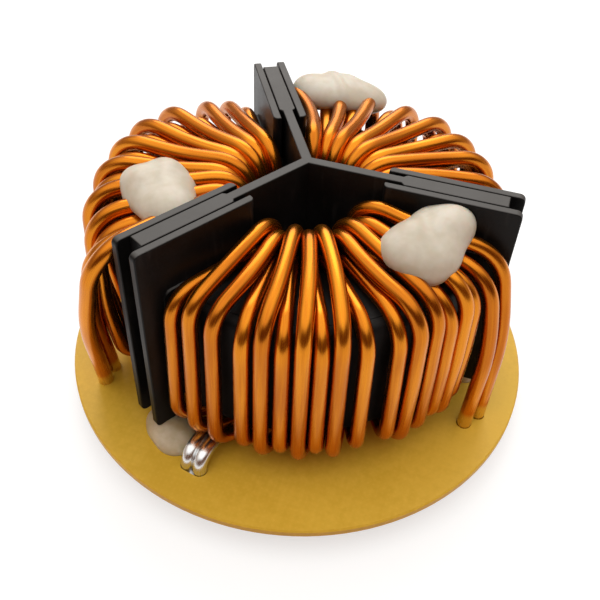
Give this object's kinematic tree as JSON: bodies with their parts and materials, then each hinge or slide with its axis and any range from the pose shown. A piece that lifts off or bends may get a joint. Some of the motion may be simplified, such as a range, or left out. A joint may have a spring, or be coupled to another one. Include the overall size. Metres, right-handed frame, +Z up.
{
  "type": "toroidal inductor",
  "caption": "Three-phase toroidal common-mode choke: paired orange enamelled wires wound on a cased ring core, parted by a black three-armed divider, on a round base with solder pins.",
  "frame": {"origin": "centre of the base plate's underside", "axes": "+Z up along the ring core's axis, +X along the divider arm that points to the picture's right"},
  "size_m": [0.068, 0.068, 0.0366],
  "materials": {
    "base_laminate": "satin glass-epoxy laminate",
    "case_plastic": "matt moulded",
    "separator_plastic": "matt moulded",
    "enamelled_wire": "glossy clear enamel over copper, tinned at the pins",
    "silicone": "smooth cured sealant",
    "ferrite": "matt"
  },
  "bodies": {
    "root": {"base_plate": "base_laminate", "toroid_core": "ferrite", "core_case_cup": "case_plastic", "core_case_lid": "case_plastic", "phase_divider": "separator_plastic", "separator_saddle_right": "separator_plastic", "separator_saddle_rear": "separator_plastic", "separator_saddle_left": "separator_plastic", "front_winding_strand_1": "enamelled_wire", "front_winding_strand_2": "enamelled_wire", "rear_winding_strand_1": "enamelled_wire", "rear_winding_strand_2": "enamelled_wire", "left_winding_strand_1": "enamelled_wire", "left_winding_strand_2": "enamelled_wire", "silicone_bead_front": "silicone", "silicone_bead_rear": "silicone", "silicone_bead_left": "silicone", "silicone_foot_right": "silicone", "silicone_foot_rear": "silicone", "silicone_foot_left": "silicone"}
  },
  "joints": []
}
